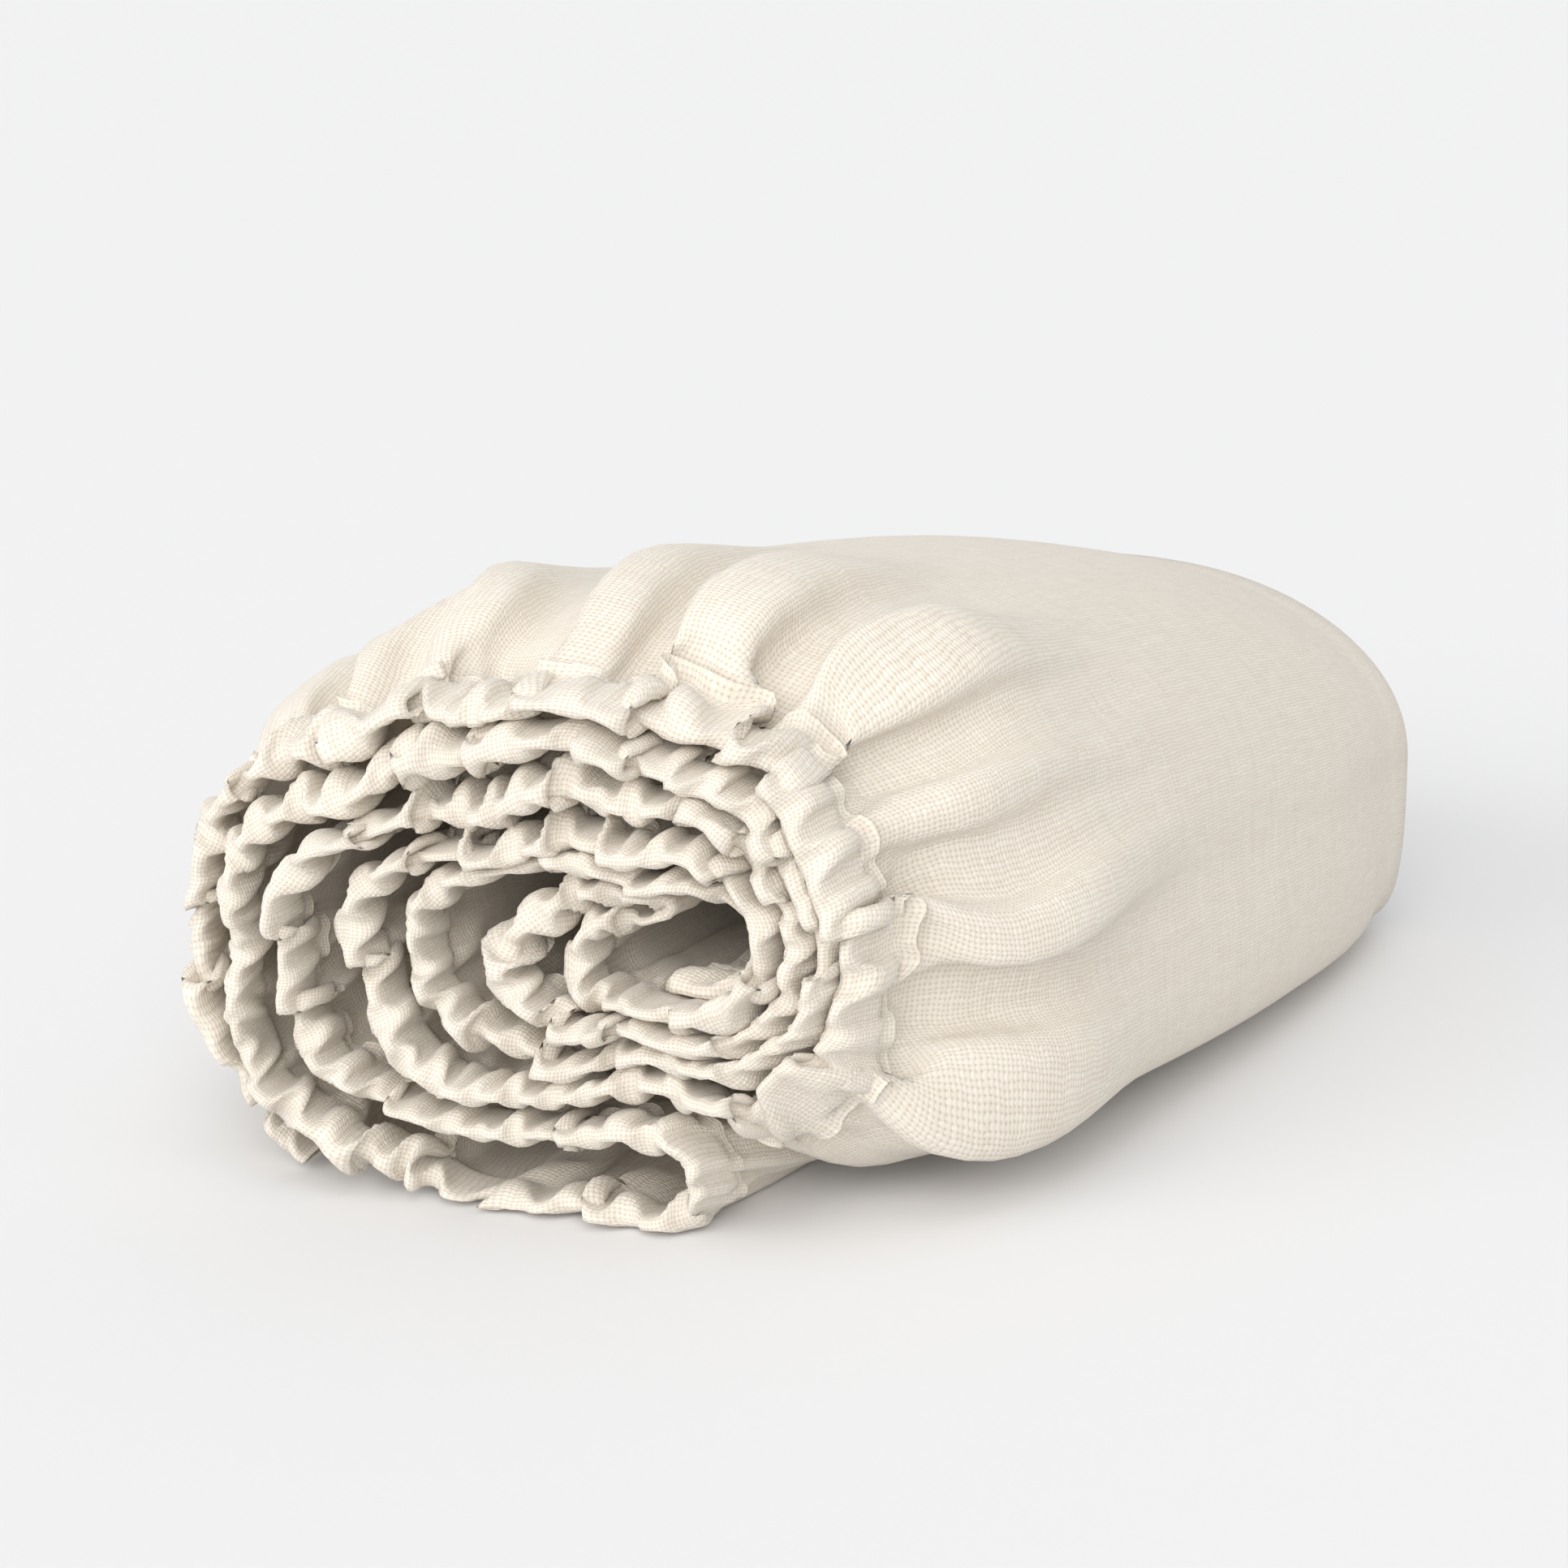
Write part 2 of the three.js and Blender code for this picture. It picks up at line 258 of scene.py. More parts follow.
coming_out = (q_column >= Q_CORE) & (q_column < Q_OUT)
under_fold = (q_column >= Q_OUT) & (q_column < Q_UNDER)
outer_turn = (q_column < Q_IN) & (angle_column < TURN + UNDER_TURN)
outer_turn |= (q_column >= Q_UNDER) & (angle_column < OUTER_EDGE)
room_out = np.where((outer_turn | under_fold)[:, None], FREE_ROOM, gap_to(-1) / 2 - CLEARANCE)
room_in = gap_to(1) / 2 - CLEARANCE
room_up = np.where(coming_out[:, None], room_in, room_out)
room_down = np.where(coming_out[:, None], room_out, room_in)
print(f"outer turn: {100 * outer_turn.mean():.0f}% of the strip")

# %% [markdown]
# A few places need other limits. The two turn-backs are sharp, so their room is small, and the loose
# ends at the core have nothing inside them. Deep in the roll the inner layers lie almost flat.

# %% Limits at the turn-backs, the core and the body
turn_back = ((q_column >= Q_IN) & (q_column < Q_CORE)) | under_fold
room_up[turn_back] = np.minimum(room_up[turn_back], 2.6)
room_down[turn_back] = np.minimum(room_down[turn_back], 1.8)
inner_end = (q_column > 0.93) | ((q_column > 0.36) & (q_column < Q_IN))
room_down[inner_end] = np.maximum(room_down[inner_end], 3.2)
room_up = np.clip(room_up, LEAST_ROOM, FREE_ROOM)
room_down = np.clip(room_down, LEAST_ROOM, FREE_ROOM)
room_up = np.minimum(room_up, np.interp(hem_distance, [CASING, 26], [4.6, FREE_ROOM])[None, :])
deep = np.interp(hem_distance, [CASING, 26], [FREE_ROOM, 0.8])[None, :]
room_up = np.where(outer_turn[:, None], room_up, np.minimum(room_up, deep))
room_down = np.minimum(room_down, deep + 0.4 * outer_turn[:, None])
print(f"room for puckers: {room_down.min():.1f} to {room_up.max():.1f} mm")

# %% [markdown]
# ## Drawing the hem up
#
# The hem has about a third to a half more cloth than the elastic is long, and nobody shares that out
# evenly: some stretches are bunched and others nearly smooth. A smooth random line along the hem
# says how full each stretch is. Deep in the body there is no extra cloth, so the folds fade out.

# %% Uneven fullness
def wander(spacing, seed):
    """A smooth random line along the hem, with a bend about every half spacing."""
    knots = np.random.default_rng(seed).normal(size=int(2 * HEM_LENGTH / spacing) + 5)
    t = home_along / HEM_LENGTH * (len(knots) - 4.001)
    i, f = t.astype(int), t % 1
    a, b, c, d = (knots[i + k] for k in range(4))
    return 0.5 * (2 * b + (c - a) * f + (2 * a - 5 * b + 4 * c - d) * f**2
                  + (3 * b - a - 3 * c + d) * f**3)


fullness = np.interp(hem_distance, [0, 6, CASING, 20, 30, 42, 60, 80, 100],
                     [1.42, 1.55, 1.5, 1.4, 1.26, 1.18, 1.09, 1.03, 1.0])
fullness[NOSE + 1:STITCH_IN] -= 0.1
tight = np.clip(np.minimum(room_up, room_down)[:, NOSE] / 2.8, 0.45, 1)
tight[outer_turn | inner_end | under_fold] = 1
uneven = np.clip(1 + 0.5 * wander(46, 3) + 0.35 * wander(22, 4), 0.35, 2.3) * tight
uneven = np.maximum(uneven, 1.3 * outer_turn)
print(f"cloth per length of elastic: {1 + 0.5 * uneven.min():.2f} to {1 + 0.5 * uneven.max():.2f}")

# %% [markdown]
# From the fullness come the lengths that the threads want to keep, along the strip and across it.
# The same lengths, added up, are the flat cloth. On the outer turn they follow the swollen body, so
# that the weave there is neither stretched nor squeezed.

# %% Lengths of the threads
thread_u = column_gap * (1 + (fullness[None, :] - 1) * uneven[:, None])
thread_u = (thread_u[:-1] + thread_u[1:]) / 2
thread_v = np.repeat(np.diff(rows)[None, :], COLUMNS, 0)
body_x, body_z, _ = turn(angle_column, layer_column, np.full(COLUMNS, 80.0))
body_step = np.hypot(np.diff(body_x), np.diff(body_z))
cloth_run = np.r_[0, np.cumsum(np.where(outer_turn[1:], body_step, thread_u[:, STITCH_IN]))]
print(f"cloth drawn up on the hem: {cloth_run[-1]:.0f} mm")

# %% [markdown]
# The elastic itself is out of sight, but it shapes the casing. It holds the two faces apart, it
# wanders a little up and down, and where the casing is sewn the two faces can't part. The elastic
# could be a body of its own that the cloth collides with. A wall above it and one below are enough.

# %% The elastic in its casing
half = np.interp(hem_distance, [0, 0.8, 1.8, 3, 4.4, 9.8, 12.8, CASING],
                 [0, 0.8, 1.1, 1.2, 1.25, 1.15, 0.8, 0.4])
half = half[None, :] * np.where(outer_turn, 1.1, 1)[:, None]
half = np.minimum(half, 0.5 * np.minimum(room_up, room_down))
elastic_line = np.clip(1.2 * wander(34, 11), -0.35 * room_down[:, 5], 0.35 * room_up[:, 5])[:, None]
sewn = (hem_distance > 11.6) & (hem_distance < 15.8) & (np.arange(len(rows)) > 0)
room_up[:, sewn] = np.minimum(room_up[:, sewn], 1.6 + np.maximum(0, elastic_line))
room_down[:, sewn] = np.minimum(room_down[:, sewn], 1.6 - np.minimum(0, elastic_line))
print(f"casing: {CASING} mm wide and up to {2 * half.max():.1f} mm thick over the elastic")

# %% [markdown]
# Flat cloth that is pushed together doesn't know which way to buckle. So it is given a start: small
# random waves, close together on the casing, wide behind it and gone in the body. The relaxing that
# follows turns them into folds.

# %% First waves
outer_wave = np.where(outer_turn, 1.9 * wander(14, 27), 1.4 * wander(22, 21)) + 0.5 * wander(40, 22)
outer_wave = np.abs(outer_wave)[:, None]
inner_wave = np.abs(1.4 * wander(22, 25) + 0.6 * wander(40, 26))[:, None]
body_wave = (4.8 * np.abs(wander(58, 23)) + 1.2 * wander(90, 24) - 1.0)[:, None]
body_wave = np.where(outer_turn[:, None], body_wave, 0.2 * body_wave)
to_body = ease(hem_distance, 16, 32) * (1 - ease(hem_distance, 60, 110))

lift = elastic_line * (1 - ease(hem_distance, CASING, 36)) + body_wave * to_body
lift[:, :NOSE] += half[:, :NOSE] + outer_wave * (half[:, :NOSE] > 0)
lift[:, NOSE + 1:STITCH_IN] -= half[:, NOSE + 1:STITCH_IN] + inner_wave
behind = slice(STITCH_IN, FLAP)
lift[:, behind] += ((outer_wave - inner_wave) * (1 - ease(hem_distance, CASING, 28)))[:, behind]
lift[:, FLAP:] -= 2.2
lift[:, 0] += 1.5
nose_back = 1.6 * wander(38, 31) + 1.2 * wander(18, 32)
back += (nose_back[:, None] - 0.6) * (1 - ease(hem_distance, 12, 40))
cloth = np.stack([along, back, np.clip(lift, -room_down, room_up)], 2)
print(f"first waves: {cloth[:, :, 2].min():.1f} to {cloth[:, :, 2].max():.1f} mm")

# %% [markdown]
# ## Relaxing the cloth
#
# Puckers could be drawn as waves, but real gathers are never even, so the strip is relaxed as cloth.
# Blender's own cloth could do it, but a sewn casing round a tight elastic, inside a roll, tangles.
# Here each thread between two points is pulled towards its length, over and over, with the strip
# still unrolled. All pairs that share no point are moved at once, which keeps it quick.

# %% Pulling on threads
def pull(first, second, rest, strength, push_only=False):
    """Move two sets of points towards their rest distance."""
    d = cloth[second] - cloth[first]
    length = np.sqrt((d * d).sum(-1)) + 1e-9
    share = (length - rest) / length
    if push_only:
        share = np.minimum(share, 0)
    d *= (0.5 * strength * share)[..., None]
    cloth[first] += d
    cloth[second] -= d


def pull_columns(rest, step, strength, push_only=False):
    for start in range(2):
        i = np.arange(COLUMNS - step)
        i = i[(i // step) % 2 == start]
        pull((i, slice(None)), (i + step, slice(None)), rest[i], strength, push_only)


def pull_rows(rest, step, strength, push_only=False):
    for start in range(2):
        j = np.arange(len(rows) - step)
        j = j[(j // step) % 2 == start]
        pull((slice(None), j), (slice(None), j + step), rest[:, j], strength, push_only)


def pull_corners(rest, strength):
    for i0 in (0, 1):
        for j0 in (0, 1):
            i, j = np.ix_(np.arange(i0, COLUMNS - 1, 2), np.arange(j0, len(rows) - 1, 2))
            pull((i, j), (i + 1, j + 1), rest[i, j], strength)
            pull((i + 1, j), (i, j + 1), rest[i, j], strength)


print(f"threads along and across: {thread_u.size + thread_v.size}")

# %% [markdown]
# Cloth resists bending as well as stretching. Points two, four and ten columns apart are therefore
# pushed apart when they come too near, weakly at the hem, where folds are sharp, and firmly in the
# body, where they are broad. A light hold keeps every point near its place along the strip.

# %% Stiffness and hold
def from_hem(distances, values):
    """A value for every row, by its distance from the hem."""
    return np.interp(hem_distance, distances, values)[None, :]


stiff_2 = from_hem([0, 16, 28, 80], [0.24, 0.24, 0.4, 0.5])
stiff_4 = from_hem([0, 16, 26, 60], [0.1, 0.1, 0.3, 0.5])
stiff_10 = from_hem([0, 20, 32, 60], [0.0, 0.0, 0.25, 0.4])
hold_along = from_hem([0, 20, 60, 120], [0.004, 0.006, 0.03, 0.1])
hold_back = from_hem([0, 20, 60, 120], [0.012, 0.02, 0.05, 0.2])
hold_flat = from_hem([0, 60, 110], [0.0, 0.0, 0.03])
outer_rows, inner_rows = slice(STITCH_OUT + 1, NOSE), slice(NOSE + 1, STITCH_IN)
upper_wall = (elastic_line + half)[:, outer_rows]
lower_wall = (elastic_line - half)[:, inner_rows]
print(f"bending stiffness: {stiff_2.min():.2f} at the hem to {stiff_2.max():.2f} in the body")

# %% [markdown]
# In the first half of the steps the extra cloth is let in little by little, as when the elastic
# shortens. After each round of pulling, the casing's faces go back to their sides of the elastic,
# the stitch line is closed, and nothing may leave its room. The raw edge lies on the cloth behind it.

# %% Relax the strip
STEPS = 220
KEPT_SPEED, SEAM_THICKNESS, EDGE_ABOVE = 0.88, 0.9, 1.0
before = cloth.copy()
for step in range(STEPS):
    drawn = min(1.0, (step + 1) / (0.5 * STEPS))
    rest_1 = column_gap + (thread_u - column_gap) * drawn
    rest_2 = rest_1[:-1] + rest_1[1:]
    rest_4 = rest_2[:-2] + rest_2[2:]
    rest_10 = rest_4[:-6] + rest_4[4:-2] + rest_2[8:]
    cloth, before = cloth + KEPT_SPEED * (cloth - before), cloth
    pull_columns(rest_1, 1, 1.0)
    pull_rows(thread_v, 1, 1.0)
    pull_corners(np.hypot((rest_1[:, 1:] + rest_1[:, :-1]) / 2, thread_v[:-1]), 0.15)
    pull_columns(rest_2, 2, stiff_2, True)
    pull_columns(rest_4, 4, stiff_4, True)
    pull_columns(rest_10, 10, stiff_10, True)
    pull_rows(thread_v[:, :-1] + thread_v[:, 1:], 2, 0.15, True)

    cloth[:, outer_rows, 2] = np.maximum(cloth[:, outer_rows, 2], upper_wall)
    cloth[:, inner_rows, 2] = np.minimum(cloth[:, inner_rows, 2], lower_wall)
    seam = cloth[:, STITCH_OUT] - cloth[:, STITCH_IN] - (0, 0, SEAM_THICKNESS)
    cloth[:, STITCH_OUT] -= 0.5 * seam
    cloth[:, STITCH_IN] += 0.5 * seam
    cloth[:, :, 2] = np.clip(cloth[:, :, 2], -room_down, room_up)
    under_edge = cloth[:, STITCH_IN:STITCH_IN + 4, 2].max(1)
    cloth[:, 0, 2] = np.maximum(cloth[:, 0, 2], under_edge + EDGE_ABOVE)
    cloth[:, :, 0] += hold_along * (along - cloth[:, :, 0])
    cloth[:, :, 1] += hold_back * (back - cloth[:, :, 1])
    cloth[:, :, 2] -= hold_flat * cloth[:, :, 2]
print(f"puckers reach from {cloth[:, :, 2].min():.1f} to {cloth[:, :, 2].max():.1f} mm")

# %% [markdown]
# The body of the roll is smooth but not blank: where hands have pressed it, long soft creases run
# over it at a slant. Sculpting would do, but a few shallow troughs and ridges with random places,
# slopes and widths are as good, and come out the same on each run.

# %% Soft creases on the body
CREASES = 14
soft_creases = np.zeros_like(along)
pick = np.random.default_rng(71)
for _ in range(CREASES):
    centre, slope = pick.uniform(0, 0.13 * HEM_LENGTH * 2), pick.uniform(-0.45, 0.45)
    width, middle = pick.uniform(7, 16), pick.uniform(70, 200)
    length, size = pick.uniform(30, 70), pick.uniform(-0.9, 1.1)
    aside = (along - centre - slope * (hem_distance[None, :] - middle)) / width
    soft_creases += size * np.exp(-aside**2 - ((hem_distance[None, :] - middle) / length) ** 2)
on_body = ease(hem_distance, 40, 80)[None, :] * (np.arange(len(rows)) < FLAP)[None, :]
soft_creases *= outer_turn[:, None] * on_body
cloth[:, :, 2] += soft_creases
print(f"soft creases: {soft_creases.min():.1f} to {soft_creases.max():.1f} mm")

# %% [markdown]
# ## Winding it up
#
# The gathered strip is now laid along the winding: its length follows the spiral, its puckers stand
# square to it, and the hem line is slightly slanted and set back at the core, as on the real roll.
# Neighbouring layers press on each other, so one soft random push bends them all the same way.

# %% A push shared by the layers
def dent(x, z, spacing, size, seed):
    """A smooth random push of the section, the same for neighbouring layers."""
    pick = np.random.default_rng(seed)
    dx, dz = np.zeros_like(x), np.zeros_like(z)
    for _ in range(9):
        way, phase = pick.uniform(0, TURN, 2)
        push = pick.uniform(0, TURN)
        wavelength = spacing * pick.uniform(0.8, 1.5)
        wave = np.sin((x * math.cos(way) + z * math.sin(way)) * TURN / wavelength + phase)
        dx += size * math.cos(push) * wave
        dz += size * math.sin(push) * wave
    return dx, dz


pushed = np.hypot(*dent(hem_x, hem_z, 30, 0.75, 51))
print(f"layers are pushed aside by up to {pushed.max():.1f} mm")

# %% [markdown]
# The floor stops the lowest cloth. A hard stop would leave a flat patch with a sharp rim, so the
# cloth nears the floor along a soft curve, and each further layer stops on the one below it.

# %% Lay the strip on the roll
PLY_ON_FLOOR, FLOOR_LAYER, FLOOR_SOFTNESS = 6.0, 0.3, 3.0
Q_STEP = 3e-4


def on_roll(cloth):
    """Places in millimetres of the relaxed strip, wound up and centred as the solid is."""
    q = np.interp(np.clip(cloth[:, :, 0], 0, HEM_LENGTH), hem_run, q_fine)
    y = np.clip(cloth[:, :, 1], 0, ROLL_LENGTH)
    angle, layer = winding(q)
    x, z, layer = turn(angle, layer, y)
    x0, z0, _ = turn(*winding(np.clip(q - Q_STEP, 0, 1)), y)
    x1, z1, _ = turn(*winding(np.clip(q + Q_STEP, 0, 1)), y)
    length = np.hypot(x1 - x0, z1 - z0) + 1e-9
    set_back = 0.14 * x + 9 * ease(layer, 4.5, 7.5) + 8 * (1 - ease(layer, -0.4, 0.7))
    stagger = -5 * np.sin(1.7 * layer + angle) * ease(y, 0.6 * ROLL_LENGTH, ROLL_LENGTH)
    lift = cloth[:, :, 2]
    x = x - (z1 - z0) / length * lift
    z = z + (x1 - x0) / length * lift
    near = 1 - ease(y, 20, 90)
    dx, dz = dent(x, z, 30, 0.75, 51)
    x, z = x + near * dx, z + near * dz
    floor = PLY_ON_FLOOR * np.maximum(0, layer - FLOOR_LAYER)
    return np.stack([
        x,
        cloth[:, :, 1] + set_back * (1 - y / ROLL_LENGTH) - stagger,
        floor + 0.5 * (z - floor + np.hypot(z - floor, FLOOR_SOFTNESS))], 2) + CENTRE


wound = on_roll(cloth) / 1000
print(f"wound strip: lowest point {1000 * wound[:, :, 2].min():.1f} mm above the floor")

# %% [markdown]
# The mesh itself is one Blender grid, whose points are moved to the wound places. Its UV map is the
# flat cloth, in metres along and across the strip, so that the weave follows the threads everywhere.

# %% Make the mesh
def strip_mesh(name, places):
    bm = bmesh.new()
    bmesh.ops.create_grid(bm, x_segments=COLUMNS - 1, y_segments=len(rows) - 1, size=1)
    mesh = bpy.data.meshes.new(name)
    bm.to_mesh(mesh)
    bm.free()
    flat = np.empty(3 * len(mesh.vertices))
    mesh.vertices.foreach_get("co", flat)
    flat = flat.reshape(-1, 3)
    i = np.rint((flat[:, 0] + 1) / 2 * (COLUMNS - 1)).astype(int)
    j = np.rint((flat[:, 1] + 1) / 2 * (len(rows) - 1)).astype(int)
    mesh.vertices.foreach_set("co", places[i, j].ravel())
    mesh.polygons.foreach_set("use_smooth", np.ones(len(mesh.polygons), bool))
    corner = np.empty(len(mesh.loops), int)
    mesh.loops.foreach_get("vertex_index", corner)
    cut = np.stack([cloth_run[i], rows[j]], 1) / 1000
    threads = mesh.uv_layers.new(name="threads")
    threads.data.foreach_set("uv", cut[corner].ravel())
    mesh.update()
    return mesh


sheet = bpy.data.objects.new("linen_sheet_cloth", strip_mesh("linen_sheet_cloth", wound))
bpy.context.collection.objects.link(sheet)
print(f"sheet: {len(sheet.data.polygons)} faces")

# %% [markdown]
# ## Linen
#
# Linen is a plain weave of flax threads, here about 13 to the centimetre. Each thread passes over
# and under its neighbours, thick places follow thin ones along it, and small gaps show between
# threads. The weave could be a picture, but a node group that reads the strip's own UV map in
# metres keeps the threads the right size on every fold. Nodes take many lines to write, so a small
# class with short calls comes first.

# %% Node helpers
class Wires:
    """Short calls for adding and joining nodes in one node tree."""

    def __init__(self, tree):
        self.tree = tree

    def add(self, kind, **settings):
        node = self.tree.nodes.new(kind)
        for name, value in settings.items():
            setattr(node, name, value)
        return node

    def put(self, socket, value):
        if isinstance(value, bpy.types.NodeSocket):
            self.tree.links.new(value, socket)
        else:
            socket.default_value = value

    def math(self, operation, *values):
        node = self.add("ShaderNodeMath", operation=operation)
        for socket, value in zip(node.inputs, values):
            self.put(socket, value)
        return node.outputs[0]

    def blend(self, share, a, b):
        node = self.add("ShaderNodeMix", data_type="FLOAT")
        for socket, value in zip((node.inputs[0], node.inputs[2], node.inputs[3]), (share, a, b)):
            self.put(socket, value)
        return node.outputs[0]

    def noise(self, vector, scale, detail=2.0):
        node = self.add("ShaderNodeTexNoise")
        self.put(node.inputs["Vector"], vector)
        node.inputs["Scale"].default_value = scale
        node.inputs["Detail"].default_value = detail
        return node.outputs[0]

    def vector(self, x, y):
        node = self.add("ShaderNodeCombineXYZ")
        self.put(node.inputs[0], x)
        self.put(node.inputs[1], y)
        return node.outputs[0]


# %% [markdown]
# In the group, the two thread counts come from the UV map, with a little noise, because linen is
# never woven quite straight. Sines of the counts give round threads, and the sign of their product
# tells which thread lies on top in each crossing.

# %% Weave group: threads
THREAD_PITCH = 0.00075
weave = bpy.data.node_groups.new("plain_weave", "ShaderNodeTree")
weave.interface.new_socket("Height", in_out="OUTPUT", socket_type="NodeSocketFloat")
weave.interface.new_socket("Tone and gap shade", in_out="OUTPUT", socket_type="NodeSocketFloat")
w = Wires(weave)
flat_cloth = w.add("ShaderNodeUVMap", uv_map="threads").outputs[0]
stray = w.noise(flat_cloth, 240.0)
split = w.add("ShaderNodeSeparateXYZ")
w.put(split.inputs[0], flat_cloth)


def thread_count(distance, straying):
    return w.math("ADD", w.math("DIVIDE", distance, THREAD_PITCH), w.math("MULTIPLY", stray, straying))


warp_count, weft_count = thread_count(split.outputs[0], 1.2), thread_count(split.outputs[1], -1.1)
warp_wave = w.math("SINE", w.math("MULTIPLY", warp_count, math.pi))
weft_wave = w.math("SINE", w.math("MULTIPLY", weft_count, math.pi))
warp_round, weft_round = w.math("ABSOLUTE", warp_wave), w.math("ABSOLUTE", weft_wave)
warp_on_top = w.math("GREATER_THAN", w.math("MULTIPLY", warp_wave, weft_wave), 0.0)
print(f"threads: {0.01 / THREAD_PITCH:.0f} to the centimetre")

# %% [markdown]
# Flax is spun with slubs, the thick places along a thread. Noise drawn out along each thread makes
# them, with a new strand of noise for every thread. The group puts out a height for the bump, and a
# tone that is light on slubs and darkened with painted shade in the small gaps at the corners
# between threads.

# %% Weave group: slubs, height, and tone with painted shade in the gaps
warp_along, weft_along = w.math("MULTIPLY", weft_count, 0.045), w.math("MULTIPLY", warp_count, 0.045)
warp_slub = w.noise(w.vector(w.math("FLOOR", warp_count), warp_along), 1.7)
weft_slub = w.noise(w.vector(weft_along, w.math("FLOOR", weft_count)), 1.7)
slub = w.blend(warp_on_top, weft_slub, warp_slub)
over_warp = w.math("MULTIPLY", w.math("POWER", warp_round, 0.9), w.math("POWER", weft_round, 0.35))
over_weft = w.math("MULTIPLY", w.math("POWER", warp_round, 0.35), w.math("POWER", weft_round, 0.9))
crossing = w.blend(warp_on_top, over_weft, over_warp)
height = w.math("MULTIPLY", crossing, w.math("ADD", w.math("MULTIPLY", slub, 1.2), 0.4))
# Painted shade: the tone is darkened in the gaps at the corners between threads.
corner = w.math("MULTIPLY", w.math("SUBTRACT", 1.0, warp_round), w.math("SUBTRACT", 1.0, weft_round))
painted_gap_shade = w.math("MULTIPLY", corner, w.math("SUBTRACT", 1.6, slub))
light_threads = w.math("ADD", 0.57, w.math("MULTIPLY", slub, 0.6))
tone_and_gap_shade = w.math("SUBTRACT", light_threads, w.math("MULTIPLY", painted_gap_shade, 0.6))
out = w.add("NodeGroupOutput")
w.put(out.inputs["Height"], height)
w.put(out.inputs["Tone and gap shade"], tone_and_gap_shade)
print(f"weave group: {len(weave.nodes)} nodes")

# %% [markdown]
# The cloth is dull, with a faint bloom of loose fibres, and it lets a little light through. So a
# rough shader with sheen is mixed with a translucent one, and both take the weave's colour. The
# colour runs from a brown painted shade in the gaps between threads to the cream of the washed
# threads.

# %% Linen material
linen = bpy.data.materials.new("linen")
linen.use_nodes = True
m = Wires(linen.node_tree)
shader = linen.node_tree.nodes["Principled BSDF"]
threads = m.add("ShaderNodeGroup", node_tree=weave)
ramp = m.add("ShaderNodeValToRGB")
# The dark end of the ramp is a painted shade, a brown for the gaps between threads.
ramp.color_ramp.elements[0].color = (0.47, 0.36, 0.25, 1)
ramp.color_ramp.elements[1].color = (0.855, 0.797, 0.707, 1)
m.put(ramp.inputs[0], threads.outputs["Tone and gap shade"])
bump = m.add("ShaderNodeBump")
bump.inputs["Strength"].default_value = 0.45
bump.inputs["Distance"].default_value = 0.00025
m.put(bump.inputs["Height"], threads.outputs["Height"])
m.put(shader.inputs["Base Color"], ramp.outputs[0])
m.put(shader.inputs["Normal"], bump.outputs[0])
shader.inputs["Roughness"].default_value = 0.92
shader.inputs["Specular IOR Level"].default_value = 0.2
shader.inputs["Sheen Weight"].default_value = 0.25
shader.inputs["Sheen Roughness"].default_value = 0.5
glow = m.add("ShaderNodeBsdfTranslucent")
m.put(glow.inputs["Color"], ramp.outputs[0])
both = m.add("ShaderNodeMixShader")
both.inputs[0].default_value = 0.08
m.put(both.inputs[1], shader.outputs[0])
m.put(both.inputs[2], glow.outputs[0])
m.put(linen.node_tree.nodes["Material Output"].inputs["Surface"], both.outputs[0])
sheet.data.materials.append(linen)
print(f"linen: {len(linen.node_tree.nodes)} nodes")

# %% [markdown]
# ## Floor, light and camera
#
# The roll lies on a plain pale floor. One wide grid is enough, because it runs past the picture on
# every side and needs no wall behind it.

# %% Floor
FLOOR_REACH = 15
bm = bmesh.new()
bmesh.ops.create_grid(bm, x_segments=2, y_segments=2, size=FLOOR_REACH)
floor_mesh = bpy.data.meshes.new("floor")
bm.to_mesh(floor_mesh)
bm.free()
floor = bpy.data.objects.new("floor", floor_mesh)
bpy.context.collection.objects.link(floor)
pale = bpy.data.materials.new("pale_floor")
pale.use_nodes = True
pale.node_tree.nodes["Principled BSDF"].inputs["Base Color"].default_value = (0.79, 0.785, 0.785, 1)
pale.node_tree.nodes["Principled BSDF"].inputs["Roughness"].default_value = 0.8
floor_mesh.materials.append(pale)
print(f"floor: {2 * FLOOR_REACH} m wide")

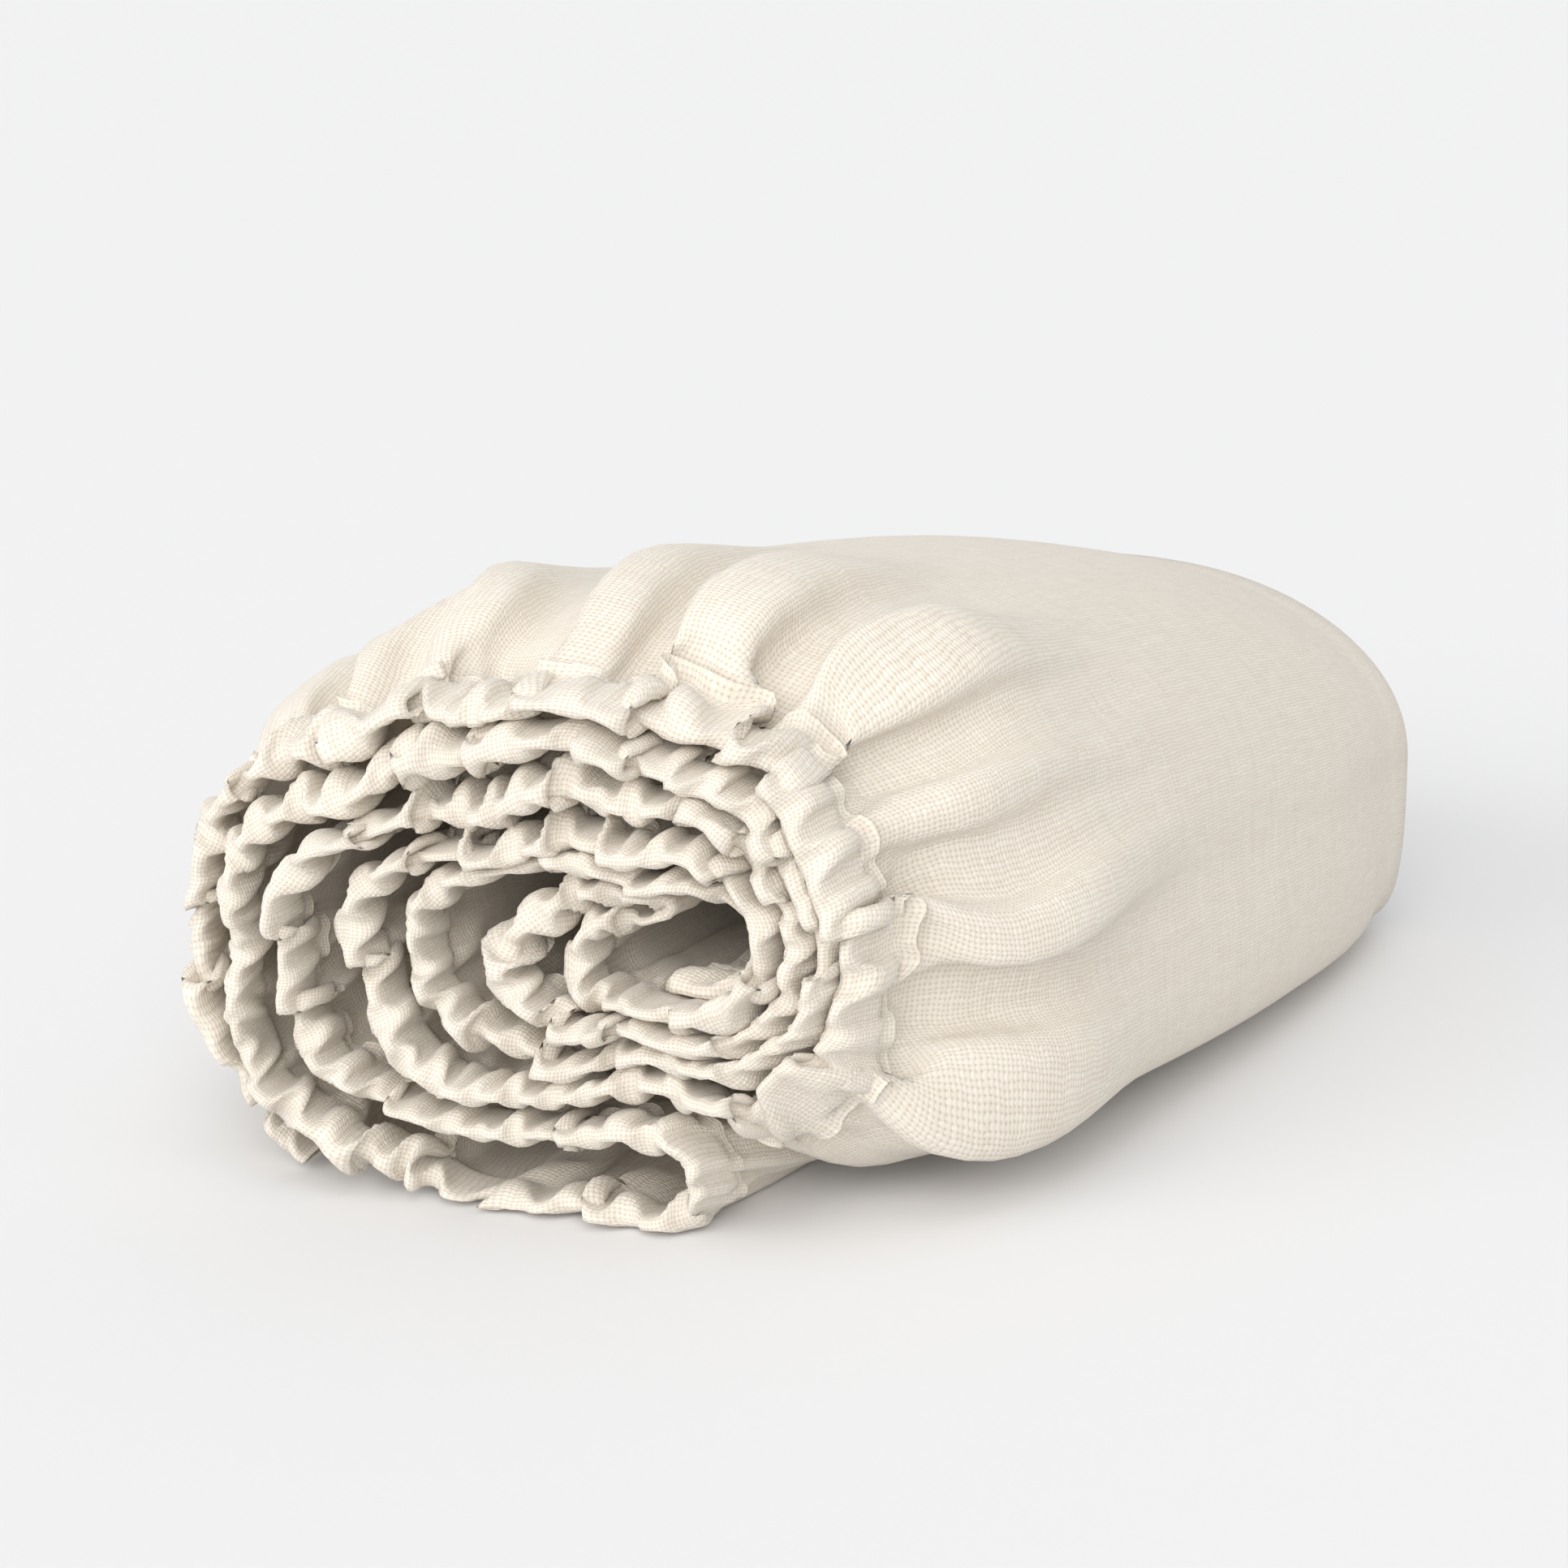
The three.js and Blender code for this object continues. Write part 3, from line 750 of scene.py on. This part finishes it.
# %% [markdown]
# A bright room lights the roll from all round, so every shadow is soft. Area lamps would fade with
# distance over the wide floor. Suns with a wide angle don't, so three of them stand for the window
# above and two pale screens in front, over a plain bright world.

# %% Light
world = bpy.data.worlds.new("soft_room")
world.use_nodes = True
world.node_tree.nodes["Background"].inputs["Color"].default_value = (0.97, 0.985, 1, 1)
world.node_tree.nodes["Background"].inputs["Strength"].default_value = 0.66
bpy.context.scene.world = world
bpy.context.scene.view_settings.view_transform = "Standard"


def soft_sun(name, place, spread, strength):
    lamp = bpy.data.lights.new(name, "SUN")
    lamp.angle, lamp.energy = math.radians(spread), strength
    sun = bpy.data.objects.new(name, lamp)
    sun.rotation_mode = "QUATERNION"
    sun.rotation_quaternion = (-Vector(place)).to_track_quat("-Z", "Y")
    bpy.context.collection.objects.link(sun)
    return sun


lamps = [soft_sun("window", (0.15, -0.2, 1.0), 40, 0.41),
         soft_sun("left_screen", (-0.5, -1.0, 0.35), 45, 1.4),
         soft_sun("right_screen", (0.45, -1.0, 0.6), 45, 1.52)]
print("lamps:", [lamp.name for lamp in lamps])

# %% [markdown]
# The camera stands a little to the right of the hem and above it, and looks along the roll. Its
# place and direction were found by matching the solid's rings and outline to the photograph.

# %% Camera
lens_angle = math.radians(25)
camera = bpy.data.cameras.new("camera")
camera.sensor_width = 36
camera.lens = 18 / math.tan(lens_angle / 2)
camera.clip_end = 60
eye = bpy.data.objects.new("camera", camera)
eye.location = (np.array([314.84, -503.85, 240.04]) + CENTRE) / 1000
eye.rotation_mode = "QUATERNION"
eye.rotation_quaternion = Vector((-0.45999, 0.850234, -0.255951)).to_track_quat("-Z", "Y")
bpy.context.collection.objects.link(eye)
bpy.context.scene.camera = eye
print(f"camera: {camera.lens:.0f} mm lens, {1000 * eye.location.z:.0f} mm above the floor")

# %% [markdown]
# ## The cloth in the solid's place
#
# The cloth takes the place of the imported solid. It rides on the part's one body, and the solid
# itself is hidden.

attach(sheet, "root")
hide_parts("linen_sheet")
